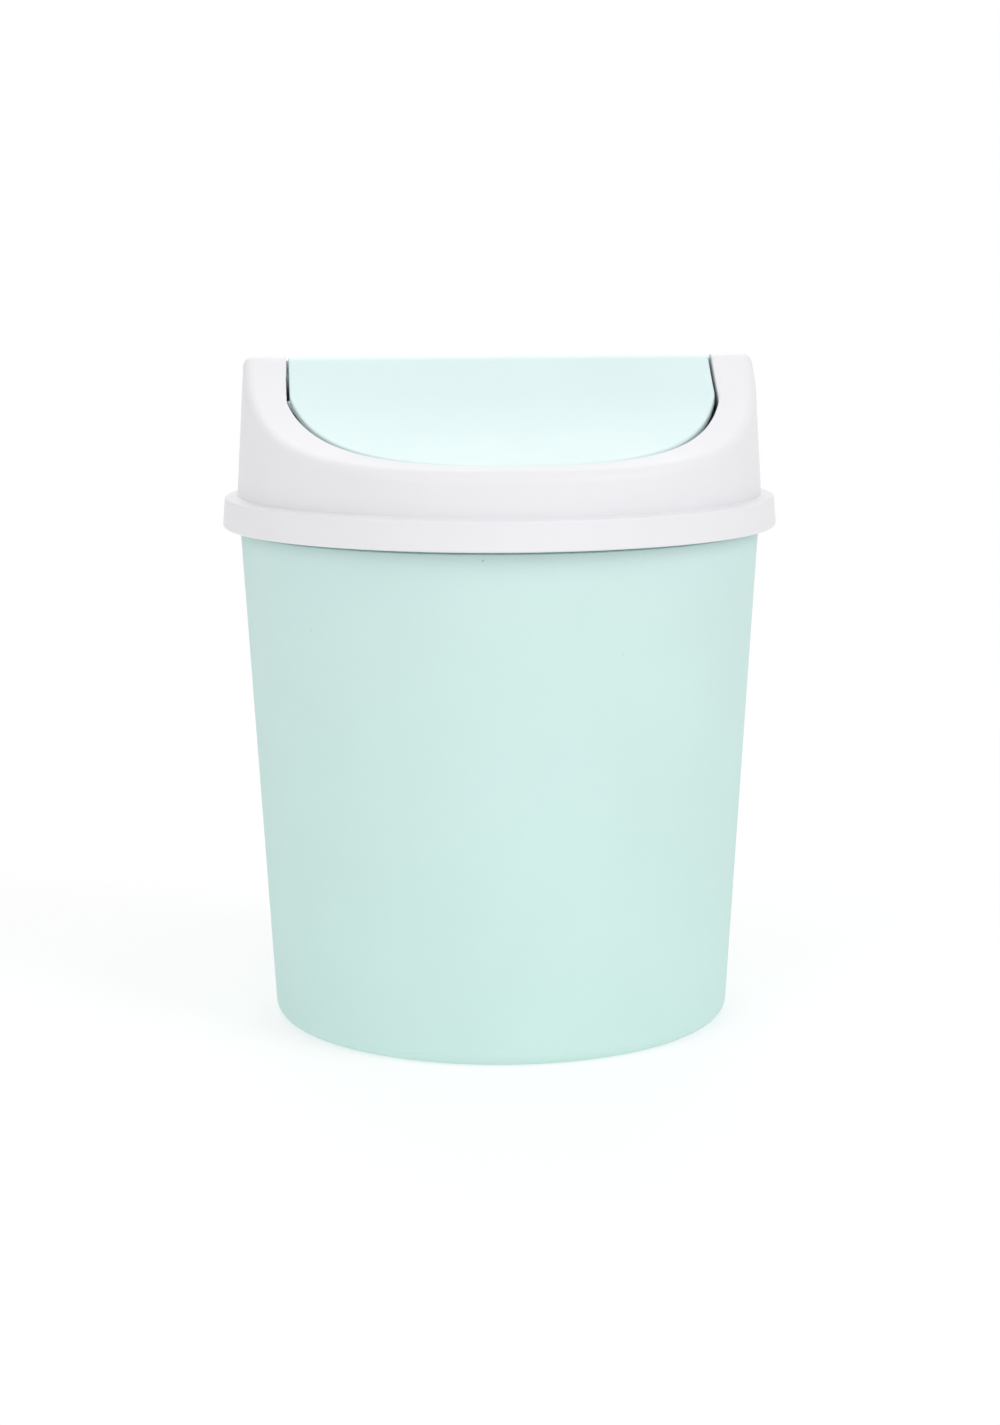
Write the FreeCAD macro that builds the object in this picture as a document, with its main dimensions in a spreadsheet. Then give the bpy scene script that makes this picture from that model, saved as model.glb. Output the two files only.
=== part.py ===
import FreeCAD, Part
import math
import os
import Sketcher

# Desk wastebasket: a tapered bucket, a collar that lifts off it and a flap that swings in the collar.
# The origin is at the middle of the foot, +Z is up and the front is towards -Y.
# Every piece is the same on its left and right and on its front and back,
# so the collar and the flap are drawn as the quarter with +X and +Y and mirrored twice.

# Driving dimensions in millimetres
SIZES = {
    # Bucket: its wall steps in to a neck, hidden by the collar's skirt, and turns out again to a lip
    "bucket_height": "141.75",
    "bucket_base_radius": "62.4",
    "bucket_mouth_radius": "70.75",
    "bucket_wall": "1.6",
    "bucket_floor": "2.0",
    "bucket_base_rounding": "4.0",
    "foot_ring_width": "4.4",
    "foot_recess_depth": "1.0",
    "neck_height": "7.0",
    "neck_set_in": "1.4",
    "ledge_rounding": "0.3",
    "lip_reach": "1.8",
    "lip_thickness": "2.0",
    "lip_rounding": "0.6",
    # Collar: skirt over the bucket's lip, shoulder on top of it, wall up to the roof line
    "collar_clearance": "0.3",
    "skirt_wall": "1.6",
    "skirt_spread": "0.6",
    "skirt_height": "8.4",
    "skirt_rounding": "0.6",
    "shoulder_thickness": "2.2",
    "shoulder_fall": "0.6",
    "shoulder_rounding": "0.7",
    "shoulder_width": "3.45",
    "collar_wall": "1.8",
    "collar_wall_set_in": "2.25",
    # Roof line, shared by the collar and the flap: a rounded ridge with a hollow slope on each side
    "ridge_rise": "37.05",
    "ridge_rounding": "5.0",
    "roof_front_rise": "11.55",
    "roof_hollow_radius": "98.0",
    "roof_thickness": "1.8",
    "crease_front_rounding": "3.6",
    "crease_ridge_rounding": "2.8",
    "crease_inner_rounding": "2.0",
    # Mouth of the collar, with a flat cheek at each end
    "brim_width": "11.1",
    "cheek_width": "13.45",
    "mouth_corner_radius": "10.0",
    "mouth_edge_rounding": "0.4",
    "cheek_thickness": "2.0",
    "cheek_reach": "20.0",
    "cheek_depth": "6.0",
    # Flap, its ears, and the web, the boss and the pivot pin on each ear
    "flap_gap": "1.4",
    "flap_side_gap": "0.8",
    "flap_sink": "0.3",
    "flap_thickness": "1.6",
    "flap_front_rounding": "1.4",
    "flap_end_rounding": "0.5",
    "pivot_drop": "8.0",
    "ear_radius": "5.0",
    "ear_thickness": "2.0",
    "ear_inset": "1.0",
    "web_thickness": "2.0",
    "boss_radius": "4.0",
    "boss_clearance": "0.2",
    "pin_radius": "2.5",
    "pin_clearance": "0.06",
    "pin_proud": "1.0",
    "pin_chamfer": "0.5",
    "snap_bite": "0.3",
    # Working allowances
    "overrun": "5.0",
    "edge_match": "0.02",
}

# Sketch references: the sketch's own axes, then the points of a line or an arc after the whole of it
VERTICAL_AXIS, HORIZONTAL_AXIS = range(-2, 0)
WHOLE, START, END, CENTRE = range(4)

document = FreeCAD.newDocument("desk_wastebasket")
sheet = document.addObject("Spreadsheet::Sheet", "Sizes")
for row, (alias, number) in enumerate(SIZES.items(), start=1):
    sheet.set(f"A{row}", alias)
    sheet.set(f"B{row}", number)
    sheet.setAlias(f"B{row}", alias)
document.recompute()


class Length:
    """A length worked out from the sheet: its number now, and the expression that keeps it bound."""

    def __init__(self, number, text):
        self.number = number
        self.text = text

    def __add__(self, other):
        return Length(self.number + other.number, f"({self.text} + {other.text})")

    def __sub__(self, other):
        return Length(self.number - other.number, f"({self.text} - {other.text})")

    def shared(self, part, whole):
        """This length times the ratio of two other lengths."""
        number = self.number * part.number / whole.number
        return Length(number, f"({self.text} * {part.text} / {whole.text})")

    def half(self):
        return Length(self.number / 2, f"({self.text} / 2)")


def size(alias):
    return Length(float(sheet.get(alias)), f"Sizes.{alias}")


# Heights above the floor
ground = Length(0, "0")
bucket_top = size("bucket_height")
floor_top = size("foot_recess_depth") + size("bucket_floor")
lip_underside = bucket_top - size("lip_thickness")
ledge_top = bucket_top - size("neck_height")
ledge_underside = ledge_top - size("bucket_wall")
shoulder_top = bucket_top + size("shoulder_thickness")
shoulder_edge = shoulder_top - size("shoulder_fall")
skirt_bottom = shoulder_top - size("skirt_height")
ridge_top = shoulder_top + size("ridge_rise")
roof_front = shoulder_top + size("roof_front_rise")
above_ridge = ridge_top + size("overrun")
pivot_height = ridge_top - size("pivot_drop")
cheek_bottom = pivot_height - size("cheek_depth")
flap_middle_drop = size("flap_sink") + size("flap_thickness").half()
web_top = ridge_top - flap_middle_drop

# Distances from the upright axis
foot_recess_radius = size("bucket_base_radius") - size("bucket_base_rounding") - size("foot_ring_width")
lip_radius = size("bucket_mouth_radius") + size("lip_reach")
skirt_top_inner = lip_radius + size("collar_clearance")
skirt_top_radius = skirt_top_inner + size("skirt_wall")
skirt_bottom_inner = skirt_top_inner + size("skirt_spread")
skirt_bottom_radius = skirt_top_radius + size("skirt_spread")
collar_wall_radius = skirt_top_radius - size("shoulder_width")
beyond_collar = skirt_bottom_radius + size("overrun")
mouth_radius = collar_wall_radius - size("brim_width")
mouth_half_width = collar_wall_radius - size("cheek_width")
flap_radius = mouth_radius - size("flap_gap")
flap_half_width = mouth_half_width - size("flap_side_gap")
flap_corner_radius = size("mouth_corner_radius") - size("flap_gap")
ear_outside = flap_half_width - size("ear_inset")
ear_inside = ear_outside - size("ear_thickness")
boss_end = mouth_half_width - size("boss_clearance")
cheek_outside = mouth_half_width + size("cheek_thickness")
pin_end = cheek_outside + size("pin_proud")


def bucket_outer_radius(height):
    """The bucket's straight tapered side at a height."""
    taper = size("bucket_mouth_radius") - size("bucket_base_radius")
    return size("bucket_base_radius") + taper.shared(height, bucket_top)


def collar_outer_radius(height):
    """The collar's wall, which leans inwards from its shoulder to the ridge."""
    return collar_wall_radius - size("collar_wall_set_in").shared(height - shoulder_top, size("ridge_rise"))


def roof_centres():
    """Centre heights of the ridge's rounding and of the hollow slope, and how far out the slope's centre is.

    The slope's arc ends at the front of the collar's wall and touches the ridge's rounding from outside.
    """
    rounding = size("ridge_rounding").number
    hollow = size("roof_hollow_radius").number
    ridge_centre = ridge_top.number - rounding
    across = collar_wall_radius.number
    up = roof_front.number - ridge_centre
    span = math.hypot(across, up)
    along = (span ** 2 + (hollow + rounding) ** 2 - hollow ** 2) / (2 * span)
    beside = math.sqrt((hollow + rounding) ** 2 - along ** 2)
    hollow_across = (along * across - beside * up) / span
    hollow_up = ridge_centre + (along * up + beside * across) / span
    return ridge_centre, hollow_across, hollow_up


def roof_height(across, drop):
    """Height of the roof line, lowered squarely by drop, at a distance in front of or behind the ridge."""
    ridge_centre, hollow_across, hollow_up = roof_centres()
    rounding = size("ridge_rounding").number - drop
    hollow = size("roof_hollow_radius").number + drop
    joint = hollow_across * rounding / (hollow + rounding)
    if abs(across) < joint:
        return ridge_centre + math.sqrt(rounding ** 2 - across ** 2)
    return hollow_up - math.sqrt(hollow ** 2 - (hollow_across - abs(across)) ** 2)


def new_body(label):
    body = document.addObject("PartDesign::Body", label)
    body.Label = label
    return body


def new_sketch(body, name, plane_role, offset=None):
    """A sketch on one of the body's origin planes, or on a plane moved forwards from it by offset."""
    sketch = body.newObject("Sketcher::SketchObject", name)
    plane = next(feature for feature in body.Origin.OriginFeatures if feature.Role == plane_role)
    sketch.AttachmentSupport = [(plane, "")]
    sketch.MapMode = "FlatFace"
    if offset is not None:
        sketch.setExpression("AttachmentOffset.Base.z", offset.text)
    return sketch


def tie(sketch, *terms):
    sketch.addConstraint(Sketcher.Constraint(*terms))


def bind(sketch, value, *terms):
    """A dimension in a sketch, bound to the sheet."""
    index = sketch.addConstraint(Sketcher.Constraint(*terms, value.number))
    sketch.setExpression(f"Constraints[{index}]", value.text)


def hold_point(sketch, geometry, point, across, up):
    """Holds a point at its distances from the sketch's origin, where None puts it on that axis."""
    if across is None:
        tie(sketch, "PointOnObject", geometry, point, VERTICAL_AXIS)
    else:
        bind(sketch, across, "DistanceX", HORIZONTAL_AXIS, START, geometry, point)
    if up is None:
        tie(sketch, "PointOnObject", geometry, point, HORIZONTAL_AXIS)
    else:
        bind(sketch, up, "DistanceY", HORIZONTAL_AXIS, START, geometry, point)


def flat_point(across, up):
    return FreeCAD.Vector(across.number if across else 0, up.number if up else 0, 0)


def add_line(sketch, start, end):
    return sketch.addGeometry(Part.LineSegment(start, end), False)


def add_arc(sketch, centre, radius, start_angle, end_angle, guide=False):
    circle = Part.Circle(centre, FreeCAD.Vector(0, 0, 1), radius)
    return sketch.addGeometry(Part.ArcOfCircle(circle, start_angle, end_angle), guide)


def add_polygon(sketch, corners):
    """A closed outline of straight sides through corners given as pairs of lengths."""
    points = [flat_point(across, up) for across, up in corners]
    sides = [add_line(sketch, start, end) for start, end in zip(points, points[1:] + points[:1])]
    for corner, side, before in zip(corners, sides, sides[-1:] + sides[:-1]):
        tie(sketch, "Coincident", side, START, before, END)
        hold_point(sketch, side, START, *corner)


def add_path(sketch, start, corners, end):
    """Straight sides from one drawn point, through the corners, to another drawn point."""
    points = [sketch.getPoint(*start)] + [flat_point(across, up) for across, up in corners]
    points.append(sketch.getPoint(*end))
    before = start
    for place, (here, there) in enumerate(zip(points, points[1:])):
        side = add_line(sketch, here, there)
        tie(sketch, "Coincident", side, START, *before)
        if place < len(corners):
            hold_point(sketch, side, END, *corners[place])
        before = (side, END)
    tie(sketch, "Coincident", *before, *end)


def add_roof_guide(sketch):
    """The roof line as two guide arcs: the ridge's rounding and the hollow slope that runs off it."""
    ridge_centre, hollow_across, hollow_up = roof_centres()
    lean = math.atan2(hollow_up - ridge_centre, hollow_across)
    front_turn = math.atan2(roof_front.number - hollow_up, collar_wall_radius.number - hollow_across)
    ridge_middle = FreeCAD.Vector(0, ridge_centre, 0)
    hollow_middle = FreeCAD.Vector(hollow_across, hollow_up, 0)
    ridge = add_arc(sketch, ridge_middle, size("ridge_rounding").number, lean, math.pi / 2, guide=True)
    hollow_radius = size("roof_hollow_radius").number
    hollow = add_arc(sketch, hollow_middle, hollow_radius, lean + math.pi, front_turn + 2 * math.pi, guide=True)
    hold_point(sketch, ridge, CENTRE, None, ridge_top - size("ridge_rounding"))
    bind(sketch, size("ridge_rounding"), "Radius", ridge)
    tie(sketch, "PointOnObject", ridge, END, VERTICAL_AXIS)
    bind(sketch, size("roof_hollow_radius"), "Radius", hollow)
    tie(sketch, "Tangent", ridge, START, hollow, START)
    hold_point(sketch, hollow, END, collar_wall_radius, roof_front)
    return ridge, hollow


def add_roof_line(sketch, guide, drop, reach):
    """The roof line lowered squarely by drop, from the ridge out to reach: its two ends as drawn points."""
    guide_ridge, guide_hollow = guide
    ridge_centre, hollow_across, hollow_up = roof_centres()
    lowered = drop.number if drop else 0
    lean = math.atan2(hollow_up - ridge_centre, hollow_across)
    end_turn = math.atan2(roof_height(reach.number, lowered) - hollow_up, reach.number - hollow_across)
    ridge_middle = FreeCAD.Vector(0, ridge_centre, 0)
    hollow_middle = FreeCAD.Vector(hollow_across, hollow_up, 0)
    rounding = size("ridge_rounding") - drop if drop else size("ridge_rounding")
    hollow_radius = size("roof_hollow_radius").number + lowered
    ridge = add_arc(sketch, ridge_middle, rounding.number, lean, math.pi / 2)
    hollow = add_arc(sketch, hollow_middle, hollow_radius, lean + math.pi, end_turn + 2 * math.pi)
    tie(sketch, "Coincident", ridge, CENTRE, guide_ridge, CENTRE)
    bind(sketch, rounding, "Radius", ridge)
    tie(sketch, "PointOnObject", ridge, END, VERTICAL_AXIS)
    tie(sketch, "Coincident", hollow, CENTRE, guide_hollow, CENTRE)
    tie(sketch, "Tangent", ridge, START, hollow, START)
    bind(sketch, reach, "DistanceX", HORIZONTAL_AXIS, START, hollow, END)
    return (ridge, END), (hollow, END)


def add_plan_quarter(sketch, half_width, radius, corner_radius):
    """A quarter of the mouth seen from above: a flat end, a rounded corner and a round front."""
    middle = FreeCAD.Vector(0, 0, 0)
    corner_across = half_width.number - corner_radius.number
    corner_turn = math.acos(corner_across / (radius.number - corner_radius.number))
    corner_up = (radius.number - corner_radius.number) * math.sin(corner_turn)
    corner_middle = FreeCAD.Vector(corner_across, corner_up, 0)
    corner = add_arc(sketch, corner_middle, corner_radius.number, 0, corner_turn)
    front = add_arc(sketch, middle, radius.number, corner_turn, math.pi / 2)
    flat = add_line(sketch, FreeCAD.Vector(half_width.number, 0, 0), sketch.getPoint(corner, START))
    hold_point(sketch, flat, START, half_width, None)
    tie(sketch, "Vertical", flat)
    tie(sketch, "Tangent", flat, END, corner, START)
    bind(sketch, corner_radius, "Radius", corner)
    tie(sketch, "Tangent", corner, END, front, START)
    tie(sketch, "Coincident", front, CENTRE, HORIZONTAL_AXIS, START)
    bind(sketch, radius, "Radius", front)
    tie(sketch, "PointOnObject", front, END, VERTICAL_AXIS)
    add_path(sketch, (front, END), [(None, None)], (flat, START))


def revolve(body, sketch, name, turn):
    feature = body.newObject("PartDesign::Revolution", name)
    feature.Profile = sketch
    feature.ReferenceAxis = (sketch, ["V_Axis"])
    feature.Angle = turn
    return feature


def pad(body, sketch, name, length):
    feature = body.newObject("PartDesign::Pad", name)
    feature.Profile = sketch
    feature.setExpression("Length", length.text)
    return feature


def cut_through(body, sketch, name):
    """A cut along the whole body, both ways from the sketch."""
    feature = body.newObject("PartDesign::Pocket", name)
    feature.Profile = sketch
    feature.Type = "ThroughAll"
    feature.SideType = "Symmetric"
    return feature


def cut_back(body, sketch, name, length):
    """A cut from the sketch towards the upright axis."""
    feature = body.newObject("PartDesign::Pocket", name)
    feature.Profile = sketch
    feature.setExpression("Length", length.text)
    return feature


def cut_above_roof(body, drop, reach):
    sketch = new_sketch(body, "above_roof_outline", "YZ_Plane")
    top, end = add_roof_line(sketch, add_roof_guide(sketch), drop, reach)
    add_path(sketch, end, [(reach, above_ridge + size("overrun")), (None, above_ridge + size("overrun"))], top)
    cut_through(body, sketch, "above_roof")


def cut_below_roof(body, drop, reach, bottom):
    sketch = new_sketch(body, "below_roof_outline", "YZ_Plane")
    top, end = add_roof_line(sketch, add_roof_guide(sketch), drop, reach)
    add_path(sketch, end, [(reach, bottom), (None, bottom)], top)
    cut_through(body, sketch, "below_roof")


def near(first, second):
    return abs(first - second) < size("edge_match").number


def edge_numbers(shape, belongs):
    """Numbers of the edges whose points all pass the test."""
    samples = 5
    return [
        number
        for number, edge in enumerate(shape.Edges, start=1)
        if all(belongs(point) for point in edge.discretize(samples))
    ]


def round_edges(body, name, radius, belongs):
    document.recompute()
    base = body.Tip
    feature = body.newObject("PartDesign::Fillet", name)
    feature.Base = (base, [f"Edge{number}" for number in edge_numbers(base.Shape, belongs)])
    feature.setExpression("Radius", radius.text)
    document.recompute()
    return feature


def round_unevenly(quarter, name, end_radius, front_radius, belongs):
    """Rounds edges of a quarter by end_radius, growing to front_radius in the middle of the front."""
    document.recompute()
    feature = document.addObject("Part::Fillet", name)
    feature.Base = quarter
    edges = []
    for number in edge_numbers(quarter.Shape, belongs):
        ends = [vertex.Point for vertex in quarter.Shape.Edges[number - 1].Vertexes]
        radii = [front_radius.number if near(end.x, 0) else end_radius.number for end in ends]
        edges.append((number, radii[0], radii[-1]))
    feature.Edges = edges
    document.recompute()
    return feature


def on_circle(radius, height):
    """Test for the points of a level circle about the upright axis."""
    return lambda point: near(math.hypot(point.x, point.y), radius.number) and near(point.z, height.number)


def on_roof(point, drop=0):
    return near(point.z, roof_height(point.y, drop))


def on_collar_wall(point, depth=ground):
    """Whether a point is on the collar's wall, or in it by a depth from its outer face."""
    wall = collar_outer_radius(Length(point.z, "")) - depth
    return near(math.hypot(point.x, point.y), wall.number)


def on_plan(point, half_width, radius, corner_radius):
    """Whether a point stands on the outline of add_plan_quarter, away from the two mirror planes."""
    corner_across = half_width.number - corner_radius.number
    corner_turn = math.acos(corner_across / (radius.number - corner_radius.number))
    corner_up = (radius.number - corner_radius.number) * math.sin(corner_turn)
    if point.y < corner_up:
        return near(point.x, half_width.number)
    if math.atan2(point.y, point.x) < corner_turn:
        return near(math.hypot(point.x - corner_across, point.y - corner_up), corner_radius.number)
    return near(math.hypot(point.x, point.y), radius.number)


def mirrored(source, normal, name):
    """A piece joined to its own mirror image."""
    image = document.addObject("Part::Mirroring", f"{name}_image")
    image.Source = source
    image.Normal = normal
    whole = document.addObject("Part::MultiFuse", name)
    whole.Shapes = [source, image]
    whole.Refine = True
    whole.Label = name
    return whole


def whole_from_quarter(quarter, label):
    half = mirrored(quarter, FreeCAD.Vector(1, 0, 0), f"{label}_half")
    return mirrored(half, FreeCAD.Vector(0, 1, 0), label)


def make_bucket():
    body = new_body("bucket")
    ledge_radius = bucket_outer_radius(ledge_top)
    neck_radius = ledge_radius - size("neck_set_in")
    neck_inner_radius = neck_radius - size("bucket_wall")
    sketch = new_sketch(body, "bucket_section", "XZ_Plane")
    add_polygon(sketch, [
        (None, size("foot_recess_depth")),
        (foot_recess_radius, size("foot_recess_depth")),
        (foot_recess_radius, None),
        (size("bucket_base_radius"), None),
        (ledge_radius, ledge_top),
        (neck_radius, ledge_top),
        (neck_radius, lip_underside),
        (lip_radius, lip_underside),
        (lip_radius, bucket_top),
        (neck_inner_radius, bucket_top),
        (neck_inner_radius, ledge_underside),
        (bucket_outer_radius(ledge_underside) - size("bucket_wall"), ledge_underside),
        (bucket_outer_radius(floor_top) - size("bucket_wall"), floor_top),
        (None, floor_top),
    ])
    revolve(body, sketch, "bucket_turned", 360)
    base_edge = on_circle(size("bucket_base_radius"), ground)
    round_edges(body, "base_rounding", size("bucket_base_rounding"), base_edge)
    floor_edge = on_circle(bucket_outer_radius(floor_top) - size("bucket_wall"), floor_top)
    round_edges(body, "floor_rounding", size("bucket_base_rounding") - size("bucket_wall"), floor_edge)
    round_edges(body, "ledge_edge", size("ledge_rounding"), on_circle(ledge_radius, ledge_top))
    lip_edges = [on_circle(lip_radius, bucket_top), on_circle(lip_radius, lip_underside)]
    lip_edges.append(on_circle(neck_inner_radius, bucket_top))
    round_edges(body, "lip_edges", size("lip_rounding"), lambda point: any(test(point) for test in lip_edges))
    return body


def make_collar_quarter():
    body = new_body("collar_quarter")
    # Roof slab inside the wall, reaching half way into it
    half_wall = size("collar_wall").half()
    plug = new_sketch(body, "roof_plug_section", "XZ_Plane")
    add_polygon(plug, [
        (None, shoulder_top),
        (collar_outer_radius(shoulder_top) - half_wall, shoulder_top),
        (collar_outer_radius(above_ridge) - half_wall, above_ridge),
        (None, above_ridge),
    ])
    revolve(body, plug, "roof_plug", 90)
    cut_below_roof(body, size("roof_thickness"), beyond_collar, bucket_top)
    # Skirt, shoulder and wall
    ring = new_sketch(body, "ring_section", "XZ_Plane")
    add_polygon(ring, [
        (skirt_bottom_radius, skirt_bottom),
        (skirt_top_radius, shoulder_edge),
        (collar_outer_radius(shoulder_top), shoulder_top),
        (collar_outer_radius(above_ridge), above_ridge),
        (collar_outer_radius(above_ridge) - size("collar_wall"), above_ridge),
        (collar_outer_radius(bucket_top) - size("collar_wall"), bucket_top),
        (skirt_top_inner, bucket_top),
        (skirt_bottom_inner, skirt_bottom),
    ])
    revolve(body, ring, "ring", 90)
    # Cheek plate that carries the pin
    plate = new_sketch(body, "cheek_outline", "YZ_Plane", offset=mouth_half_width)
    add_polygon(plate, [
        (None, cheek_bottom),
        (size("cheek_reach"), cheek_bottom),
        (size("cheek_reach"), above_ridge),
        (None, above_ridge),
    ])
    pad(body, plate, "cheek", size("cheek_thickness"))
    cut_above_roof(body, None, beyond_collar)
    mouth = new_sketch(body, "mouth_outline", "XY_Plane")
    add_plan_quarter(mouth, mouth_half_width, mouth_radius, size("mouth_corner_radius"))
    cut_through(body, mouth, "mouth")
    cut_socket(body)
    # Soft edges
    round_edges(body, "skirt_top", size("shoulder_rounding"), on_circle(skirt_top_radius, shoulder_edge))
    round_edges(body, "skirt_rim", size("skirt_rounding"), on_circle(skirt_bottom_radius, skirt_bottom))
    mouth_sizes = (mouth_half_width, mouth_radius, size("mouth_corner_radius"))
    round_edges(body, "mouth_edge", size("mouth_edge_rounding"),
                lambda point: on_roof(point) and on_plan(point, *mouth_sizes))
    thickness = size("roof_thickness").number
    round_edges(body, "inner_crease", size("crease_inner_rounding"),
                lambda point: on_roof(point, thickness) and on_collar_wall(point, size("collar_wall")))
    return body


def cut_socket(body):
    """Half of the pin's socket, with the slot below it that the pin is snapped in through."""
    sketch = new_sketch(body, "socket_outline", "YZ_Plane", offset=cheek_outside)
    hole_radius = size("pin_radius") + size("pin_clearance")
    slot_half = size("pin_radius") - size("snap_bite")
    slot_turn = -math.acos(slot_half.number / hole_radius.number)
    middle = FreeCAD.Vector(0, pivot_height.number, 0)
    hole = add_arc(sketch, middle, hole_radius.number, slot_turn, math.pi / 2)
    hold_point(sketch, hole, CENTRE, None, pivot_height)
    bind(sketch, hole_radius, "Radius", hole)
    tie(sketch, "PointOnObject", hole, END, VERTICAL_AXIS)
    bind(sketch, slot_half, "DistanceX", HORIZONTAL_AXIS, START, hole, START)
    slot_bottom = cheek_bottom - size("overrun")
    add_path(sketch, (hole, START), [(slot_half, slot_bottom), (None, slot_bottom)], (hole, END))
    cut_back(body, sketch, "socket", size("cheek_thickness") + size("flap_side_gap"))


def make_collar():
    quarter = make_collar_quarter()
    crease = round_unevenly(quarter, "crease", size("crease_ridge_rounding"), size("crease_front_rounding"),
                            lambda point: on_roof(point) and on_collar_wall(point))
    return whole_from_quarter(crease, "collar")


def add_stub(body, name, radius, end):
    """Half of a round stub about the pivot, rooted in the ear."""
    sketch = new_sketch(body, f"{name}_outline", "YZ_Plane", offset=ear_inside)
    face = add_arc(sketch, FreeCAD.Vector(0, pivot_height.number, 0), radius.number, -math.pi / 2, math.pi / 2)
    hold_point(sketch, face, CENTRE, None, pivot_height)
    bind(sketch, radius, "Radius", face)
    tie(sketch, "PointOnObject", face, START, VERTICAL_AXIS)
    tie(sketch, "PointOnObject", face, END, VERTICAL_AXIS)
    add_path(sketch, (face, END), [], (face, START))
    pad(body, sketch, name, end - ear_inside)


def make_swing_flap():
    body = new_body("swing_flap_quarter")
    plan_sizes = (flap_half_width, flap_radius, flap_corner_radius)
    plan = new_sketch(body, "flap_outline", "XY_Plane", offset=shoulder_top)
    add_plan_quarter(plan, *plan_sizes)
    pad(body, plan, "flap_blank", above_ridge - shoulder_top)
    cut_above_roof(body, size("flap_sink"), beyond_collar)
    cut_below_roof(body, size("flap_sink") + size("flap_thickness"), beyond_collar, bucket_top)
    # Ear, let half way into the shell
    ear = new_sketch(body, "ear_outline", "YZ_Plane", offset=ear_inside)
    top, end = add_roof_line(ear, add_roof_guide(ear), flap_middle_drop, size("ear_radius"))
    foot = add_arc(ear, FreeCAD.Vector(0, pivot_height.number, 0), size("ear_radius").number, -math.pi / 2, 0)
    hold_point(ear, foot, CENTRE, None, pivot_height)
    bind(ear, size("ear_radius"), "Radius", foot)
    tie(ear, "PointOnObject", foot, START, VERTICAL_AXIS)
    bind(ear, pivot_height, "DistanceY", HORIZONTAL_AXIS, START, foot, END)
    add_path(ear, end, [], (foot, END))
    add_path(ear, (foot, START), [], top)
    pad(body, ear, "ear", size("ear_thickness"))
    # Web in the plane of the ridge, which ties the boss to the shell
    web = new_sketch(body, "web_outline", "YZ_Plane", offset=ear_inside)
    web_half = size("web_thickness").half()
    add_polygon(web, [(None, pivot_height), (web_half, pivot_height), (web_half, web_top), (None, web_top)])
    pad(body, web, "web", boss_end - ear_inside)
    add_stub(body, "boss", size("boss_radius"), boss_end)
    add_stub(body, "pin", size("pin_radius"), pin_end)
    document.recompute()
    tip_edge = body.newObject("PartDesign::Chamfer", "pin_tip")
    base = tip_edge.BaseFeature

    def on_pin_tip(point):
        reach = math.hypot(point.y, point.z - pivot_height.number)
        return near(point.x, pin_end.number) and near(reach, size("pin_radius").number)

    tip_edge.Base = (base, [f"Edge{number}" for number in edge_numbers(base.Shape, on_pin_tip)])
    tip_edge.setExpression("Size", size("pin_chamfer").text)
    sink = size("flap_sink").number
    edge = round_unevenly(body, "flap_edge", size("flap_end_rounding"), size("flap_front_rounding"),
                          lambda point: on_roof(point, sink) and on_plan(point, *plan_sizes))
    return whole_from_quarter(edge, "swing_flap")


def check(pieces):
    """Stops before anything is written if an object failed or a piece isn't one sound solid."""
    for item in document.Objects:
        if {"Invalid", "Error"} & set(item.State):
            raise RuntimeError(f"{item.Name} failed: {item.State}")
    for piece in pieces:
        shape = piece.Shape
        if shape.isNull() or not shape.isValid() or len(shape.Solids) != 1:
            raise RuntimeError(f"{piece.Label} isn't one sound solid")


pieces = [make_bucket(), make_collar(), make_swing_flap()]
document.recompute()
check(pieces)
os.makedirs("parts", exist_ok=True)
for piece in pieces:
    piece.Placement = FreeCAD.Placement()
    piece.Shape.exportStep(f"parts/{piece.Label}.step")
    box = piece.Shape.BoundBox
    print(piece.Label, f"volume {piece.Shape.Volume:.1f}", f"z {box.ZMin:.3f} to {box.ZMax:.3f}")
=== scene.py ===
import math

import bpy
from mathutils import Matrix, Vector

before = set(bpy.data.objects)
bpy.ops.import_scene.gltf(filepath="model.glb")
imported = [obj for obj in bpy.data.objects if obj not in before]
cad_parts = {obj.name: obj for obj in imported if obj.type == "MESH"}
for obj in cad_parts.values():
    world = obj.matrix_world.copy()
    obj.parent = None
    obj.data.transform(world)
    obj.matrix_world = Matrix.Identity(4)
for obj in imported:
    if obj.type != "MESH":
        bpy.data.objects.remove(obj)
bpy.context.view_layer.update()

# Camera, found by fitting a pinhole to the outlines of the lid and the base; lengths in metres
IMAGE_HEIGHT_PX = 1425
FOCAL_LENGTH_PX = 2900
SENSOR_MM = 36
CAMERA_DISTANCE = 0.7886
CAMERA_HEIGHT = 0.21525
CAMERA_SIDE = -0.00004
CAMERA_PITCH = 0.1661
CAMERA_ROLL = 0.0036
CAMERA_AZIMUTH = math.radians(-4.8)

# Light: a white tent all round, two wide raised lamps in front, one overhead and one behind.
# The tent's strength falls from front to back between two values of a direction's Y, which is -1 in front.
TENT_IN_FRONT = 0.78
TENT_BEHIND = 0.40
TENT_FALLS_FROM_TO = (-1, 0.3)
BIN_MIDDLE = (0, 0, 0.09)
LID_MIDDLE = (0, 0, 0.17)
LEFT = {"place": (-1.0, -1.1, 1.05), "target": BIN_MIDDLE, "size": 1.0, "power": 5.3}
RIGHT = {"place": (1.15, -1.0, 1.05), "target": BIN_MIDDLE, "size": 1.0, "power": 7.8}
OVERHEAD = {"place": (0, 0.1, 1.3), "target": LID_MIDDLE, "size": 1.1, "power": 2.7}
BEHIND = {"place": (0, 1.0, 0.95), "target": LID_MIDDLE, "size": 1.0, "power": 4.0}

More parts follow.
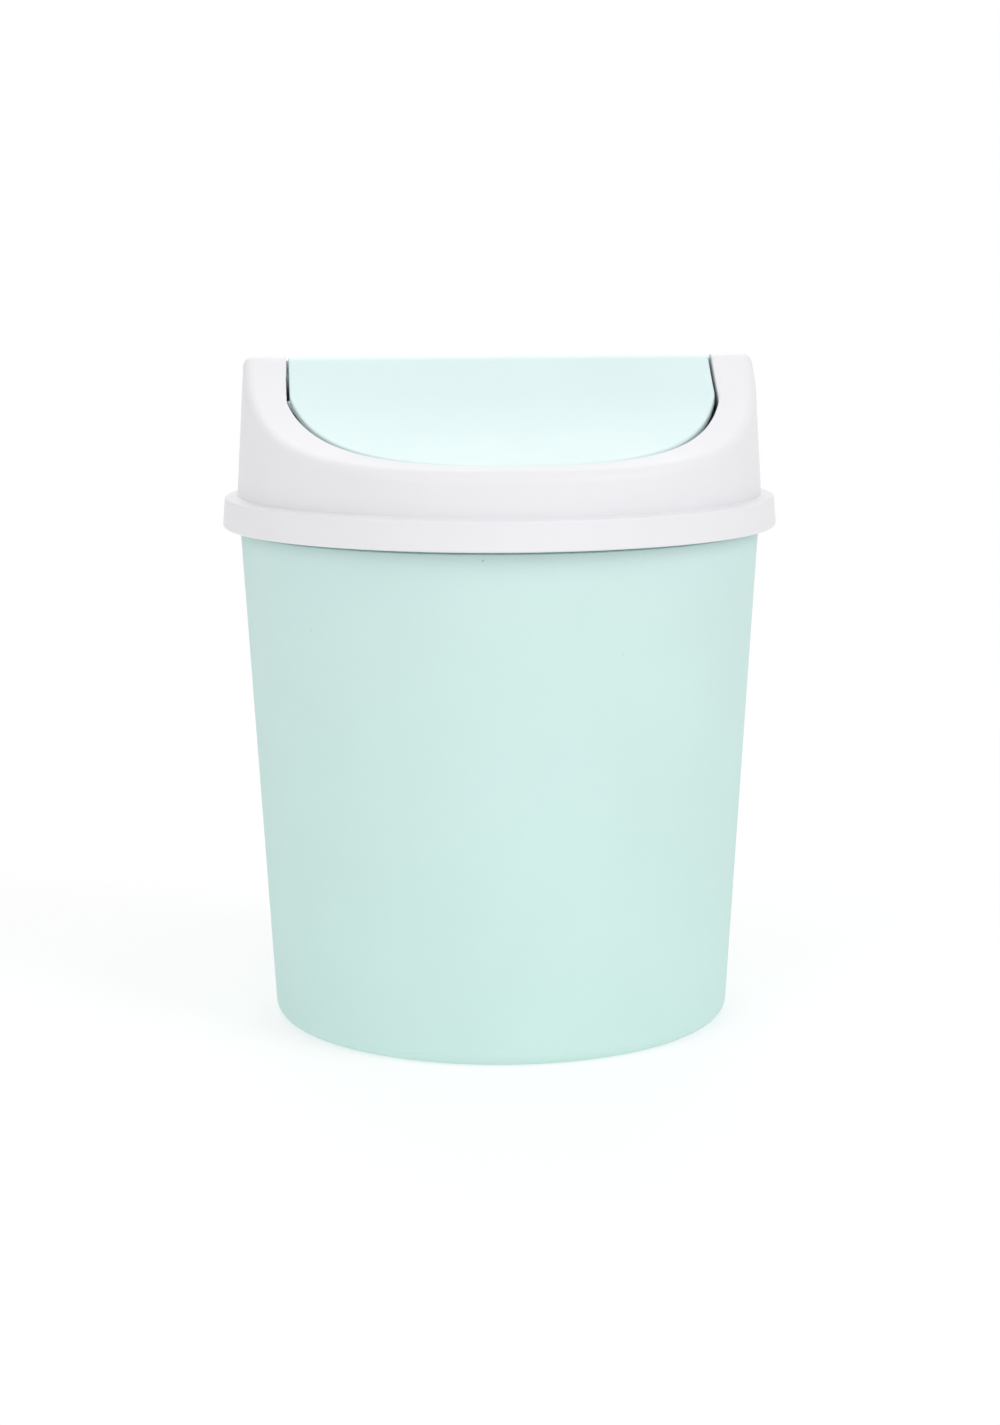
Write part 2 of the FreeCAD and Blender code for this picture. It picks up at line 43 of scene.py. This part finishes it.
# Floor: it glows a little, as a light table does, and its shadows fade out between two distances from the bin
FLOOR_HALF = 6
FLOOR_GREY = 0.55
FLOOR_GLOW = 0.5
SHADOW_KEPT_WITHIN = 0.12
SHADOW_GONE_BEYOND = 0.5

# Finish of the mouldings: lengths in metres, scales in blobs per metre, colours linear.
# A detail is a count of finer layers, and a span is the part of a noise's values that is stretched out.
MINT = (0.62, 0.797, 0.772)
MINT_LOW = (0.597, 0.80, 0.76)
# The flap's mint is the bucket's mint made lighter and whiter: painted sheen and painted light from above.
MINT_LID_PAINTED_SHEEN = (0.668, 0.816, 0.81)
WHITE = (0.811, 0.806, 0.831)
BUCKET_FINISH = {"low_colour": MINT_LOW, "high_colour": MINT,
                 "roughness_range": (0.5, 0.6), "specular": 0.08}
COLLAR_FINISH = {"low_colour": WHITE, "high_colour": WHITE,
                 "roughness_range": (0.38, 0.48), "specular": 0.25}
# The flap's colours carry painted sheen and painted light from above. Its roughness and specular are its real
# gloss.
FLAP_FINISH_AND_PAINTED_SHEEN = {"low_colour": MINT_LID_PAINTED_SHEEN, "high_colour": MINT_LID_PAINTED_SHEEN,
               "roughness_range": (0.34, 0.44), "specular": 0.5}
TINT_HEIGHTS = (0.02, 0.13)
MOTTLE_SCALE = 25
MOTTLE_DETAIL = 4
MOTTLE_SPAN = (0.25, 0.75)
MOTTLE_DEPTH = 0.018
SPECK_SCALE = 80
SPECK_RADIUS = 0.0003
SPECK_CORE_SHARE = 0.5
SPECK_DEPTH = 0.45
SHEEN_SCALE = 55
SHEEN_DETAIL = 3
SHEEN_SPAN = (0.3, 0.7)
FLOW_SCALE = (90, 90, 5)
FLOW_DETAIL = 2
FLOW_SHARE = 0.3
GRAIN_SCALE = 2200
GRAIN_DETAIL = 2
GRAIN_HEIGHT = 0.00002
WAVE_SCALE = 45
WAVE_DETAIL = 1
WAVE_HEIGHT = 0.00006

# Fixed by Blender: matrix rows, Mix sockets, the strength of plain white and the scale that changes nothing
MATRIX_ROWS = 4
NUMBER_A, NUMBER_B, NUMBER_OUT = 2, 3, 0
COLOUR_A, COLOUR_B, COLOUR_OUT = 6, 7, 2
WHITE_STRENGTH = 1
UNSCALED = 1


def add_camera():
    """A camera that stands in front of the bin, a little to the left, and looks down at it."""
    data = bpy.data.cameras.new("camera")
    data.sensor_width = SENSOR_MM
    data.lens = FOCAL_LENGTH_PX * SENSOR_MM / IMAGE_HEIGHT_PX
    camera = bpy.data.objects.new("camera", data)
    bpy.context.scene.collection.objects.link(camera)
    turn = Matrix.Rotation(CAMERA_AZIMUTH, MATRIX_ROWS, "Z")
    place = Matrix.Translation((CAMERA_SIDE, -CAMERA_DISTANCE, CAMERA_HEIGHT))
    tilt = Matrix.Rotation(math.pi / 2 - CAMERA_PITCH, MATRIX_ROWS, "X")
    roll = Matrix.Rotation(-CAMERA_ROLL, MATRIX_ROWS, "Z")
    camera.matrix_world = turn @ place @ tilt @ roll
    bpy.context.scene.camera = camera


def add_lamp(name, place, target, size, power):
    data = bpy.data.lights.new(name, "AREA")
    data.size = size
    data.energy = power
    lamp = bpy.data.objects.new(name, data)
    bpy.context.scene.collection.objects.link(lamp)
    lamp.visible_camera = False
    lamp.location = place
    lamp.rotation_mode = "QUATERNION"
    lamp.rotation_quaternion = (Vector(target) - Vector(place)).to_track_quat("-Z", "Y")


def add_node(tree, kind, **settings):
    node = tree.nodes.new(kind)
    for name, value in settings.items():
        setattr(node, name, value)
    return node


def seen_directly(tree):
    """1 for a ray from the camera, or one that a gloss or a glass sends on, and 0 for other light."""
    path = add_node(tree, "ShaderNodeLightPath")
    total = path.outputs["Is Camera Ray"]
    for also in ("Is Glossy Ray", "Is Transmission Ray"):
        either = add_node(tree, "ShaderNodeMath", operation="MAXIMUM")
        tree.links.new(total, either.inputs[0])
        tree.links.new(path.outputs[also], either.inputs[1])
        total = either.outputs[0]
    return total


def mix_shaders(tree, share, first, second):
    mix = add_node(tree, "ShaderNodeMixShader")
    tree.links.new(share, mix.inputs[0])
    tree.links.new(first, mix.inputs[1])
    tree.links.new(second, mix.inputs[2])
    return mix.outputs[0]


def emission(tree, strength):
    node = add_node(tree, "ShaderNodeEmission")
    node.inputs["Strength"].default_value = strength
    return node.outputs[0]


def tent(tree):
    """Soft light from all round, a little stronger from in front than from behind."""
    direction = add_node(tree, "ShaderNodeSeparateXYZ")
    tree.links.new(add_node(tree, "ShaderNodeTexCoord").outputs["Generated"], direction.inputs[0])
    strength = spread(tree, direction.outputs["Y"], TENT_FALLS_FROM_TO, (TENT_IN_FRONT, TENT_BEHIND))
    node = add_node(tree, "ShaderNodeBackground")
    tree.links.new(strength, node.inputs["Strength"])
    node.inputs["Color"].default_value = (1, 1, 1, 1)
    return node.outputs[0]


def white_ground(tree):
    node = add_node(tree, "ShaderNodeBackground")
    node.inputs["Color"].default_value = (1, 1, 1, 1)
    node.inputs["Strength"].default_value = WHITE_STRENGTH
    return node.outputs[0]


def add_world():
    """White where it is seen, and the tent's soft light for everything else."""
    world = bpy.data.worlds.new("studio")
    bpy.context.scene.world = world
    world.use_nodes = True
    tree = world.node_tree
    tree.nodes.clear()
    surface = mix_shaders(tree, seen_directly(tree), tent(tree), white_ground(tree))
    out = add_node(tree, "ShaderNodeOutputWorld")
    tree.links.new(surface, out.inputs["Surface"])


def floor_material():
    """White, with the bin's shadow kept close to it and fading into the white further out."""
    material = bpy.data.materials.new("floor")
    material.use_nodes = True
    tree = material.node_tree
    tree.nodes.clear()
    diffuse = add_node(tree, "ShaderNodeBsdfDiffuse")
    diffuse.inputs["Color"].default_value = (FLOOR_GREY, FLOOR_GREY, FLOOR_GREY, 1)
    near = add_node(tree, "ShaderNodeAddShader")
    tree.links.new(diffuse.outputs[0], near.inputs[0])
    tree.links.new(emission(tree, FLOOR_GLOW), near.inputs[1])
    place = add_node(tree, "ShaderNodeTexCoord")
    distance = add_node(tree, "ShaderNodeVectorMath", operation="LENGTH")
    tree.links.new(place.outputs["Object"], distance.inputs[0])
    fade = add_node(tree, "ShaderNodeMapRange", interpolation_type="SMOOTHSTEP")
    fade.inputs["From Min"].default_value = SHADOW_KEPT_WITHIN
    fade.inputs["From Max"].default_value = SHADOW_GONE_BEYOND
    tree.links.new(distance.outputs["Value"], fade.inputs["Value"])
    seen = mix_shaders(tree, fade.outputs[0], near.outputs[0], emission(tree, WHITE_STRENGTH))
    surface = mix_shaders(tree, seen_directly(tree), near.outputs[0], seen)
    out = add_node(tree, "ShaderNodeOutputMaterial")
    tree.links.new(surface, out.inputs["Surface"])
    return material


def add_floor():
    mesh = bpy.data.meshes.new("floor")
    corners = [(-FLOOR_HALF, -FLOOR_HALF, 0), (FLOOR_HALF, -FLOOR_HALF, 0),
               (FLOOR_HALF, FLOOR_HALF, 0), (-FLOOR_HALF, FLOOR_HALF, 0)]
    mesh.from_pydata(corners, [], [(0, 1, 2, 3)])
    floor = bpy.data.objects.new("floor", mesh)
    bpy.context.scene.collection.objects.link(floor)
    mesh.materials.append(floor_material())


def noise(tree, place, scale, detail):
    """Cloudy variation from 0 to 1 at a scale in blobs per metre."""
    node = add_node(tree, "ShaderNodeTexNoise")
    node.inputs["Scale"].default_value = scale
    node.inputs["Detail"].default_value = detail
    tree.links.new(place, node.inputs["Vector"])
    return node.outputs["Fac"]


def spread(tree, value, source, target):
    """A value carried from one range to another, and held at its ends."""
    node = add_node(tree, "ShaderNodeMapRange")
    node.inputs["From Min"].default_value, node.inputs["From Max"].default_value = source
    node.inputs["To Min"].default_value, node.inputs["To Max"].default_value = target
    tree.links.new(value, node.inputs["Value"])
    return node.outputs["Result"]


def mix_colours(tree, share, first, second):
    mix = add_node(tree, "ShaderNodeMix", data_type="RGBA")
    tree.links.new(share, mix.inputs["Factor"])
    for socket, colour in ((mix.inputs[COLOUR_A], first), (mix.inputs[COLOUR_B], second)):
        if isinstance(colour, tuple):
            socket.default_value = (*colour, 1)
        else:
            tree.links.new(colour, socket)
    return mix.outputs[COLOUR_OUT]


def scaled(tree, colour, factor):
    """A colour made lighter or darker by a factor."""
    node = add_node(tree, "ShaderNodeVectorMath", operation="SCALE")
    tree.links.new(colour, node.inputs[0])
    tree.links.new(factor, node.inputs["Scale"])
    return node.outputs["Vector"]


def pigment(tree, place, low_colour, high_colour):
    """The plastic's colour: a drift from low to high, cloudy mottling and a few tiny dark specks."""
    height = add_node(tree, "ShaderNodeSeparateXYZ")
    tree.links.new(place, height.inputs[0])
    drift = spread(tree, height.outputs["Z"], TINT_HEIGHTS, (0, 1))
    colour = mix_colours(tree, drift, low_colour, high_colour)
    mottle = noise(tree, place, MOTTLE_SCALE, MOTTLE_DETAIL)
    colour = scaled(tree, colour, spread(tree, mottle, MOTTLE_SPAN, (1 - MOTTLE_DEPTH, 1 + MOTTLE_DEPTH)))
    cells = add_node(tree, "ShaderNodeTexVoronoi")
    cells.inputs["Scale"].default_value = SPECK_SCALE
    tree.links.new(place, cells.inputs["Vector"])
    reach = SPECK_RADIUS * SPECK_SCALE
    speck = spread(tree, cells.outputs["Distance"], (SPECK_CORE_SHARE * reach, reach), (1 - SPECK_DEPTH, 1))
    return scaled(tree, colour, speck)


def sheen_level(tree, place, roughness_range):
    """Roughness that clouds over and runs in faint upright flow lines."""
    stretch = add_node(tree, "ShaderNodeMapping")
    stretch.inputs["Scale"].default_value = FLOW_SCALE
    tree.links.new(place, stretch.inputs["Vector"])
    flow = noise(tree, stretch.outputs["Vector"], UNSCALED, FLOW_DETAIL)
    cloud = noise(tree, place, SHEEN_SCALE, SHEEN_DETAIL)
    both = add_node(tree, "ShaderNodeMix")
    both.inputs["Factor"].default_value = FLOW_SHARE
    tree.links.new(cloud, both.inputs[NUMBER_A])
    tree.links.new(flow, both.inputs[NUMBER_B])
    return spread(tree, both.outputs[NUMBER_OUT], SHEEN_SPAN, roughness_range)


def raised(tree, height, rise, below=None):
    node = add_node(tree, "ShaderNodeBump")
    node.inputs["Strength"].default_value = 1
    node.inputs["Distance"].default_value = rise
    tree.links.new(height, node.inputs["Height"])
    if below is not None:
        tree.links.new(below, node.inputs["Normal"])
    return node.outputs["Normal"]


def moulded_plastic(name, low_colour, high_colour, roughness_range, specular):
    material = bpy.data.materials.new(name)
    material.use_nodes = True
    tree = material.node_tree
    shader = tree.nodes["Principled BSDF"]
    place = add_node(tree, "ShaderNodeTexCoord").outputs["Object"]
    waves = raised(tree, noise(tree, place, WAVE_SCALE, WAVE_DETAIL), WAVE_HEIGHT)
    grain = raised(tree, noise(tree, place, GRAIN_SCALE, GRAIN_DETAIL), GRAIN_HEIGHT, below=waves)
    tree.links.new(pigment(tree, place, low_colour, high_colour), shader.inputs["Base Color"])
    tree.links.new(sheen_level(tree, place, roughness_range), shader.inputs["Roughness"])
    tree.links.new(grain, shader.inputs["Normal"])
    shader.inputs["Specular IOR Level"].default_value = specular
    return material


def dress(node, material):
    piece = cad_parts[node]
    piece.data.materials.clear()
    piece.data.materials.append(material)


bpy.context.scene.view_settings.view_transform = "Standard"
add_camera()
add_world()
add_floor()
add_lamp("left", **LEFT)
add_lamp("right", **RIGHT)
add_lamp("overhead", **OVERHEAD)
add_lamp("behind", **BEHIND)
dress("bucket", moulded_plastic("mint_matte", **BUCKET_FINISH))
dress("collar", moulded_plastic("white_satin", **COLLAR_FINISH))
# The flap's colour is the bucket's mint with painted sheen and painted light from above.
dress("swing_flap", moulded_plastic("mint_satin_painted_sheen", **FLAP_FINISH_AND_PAINTED_SHEEN))
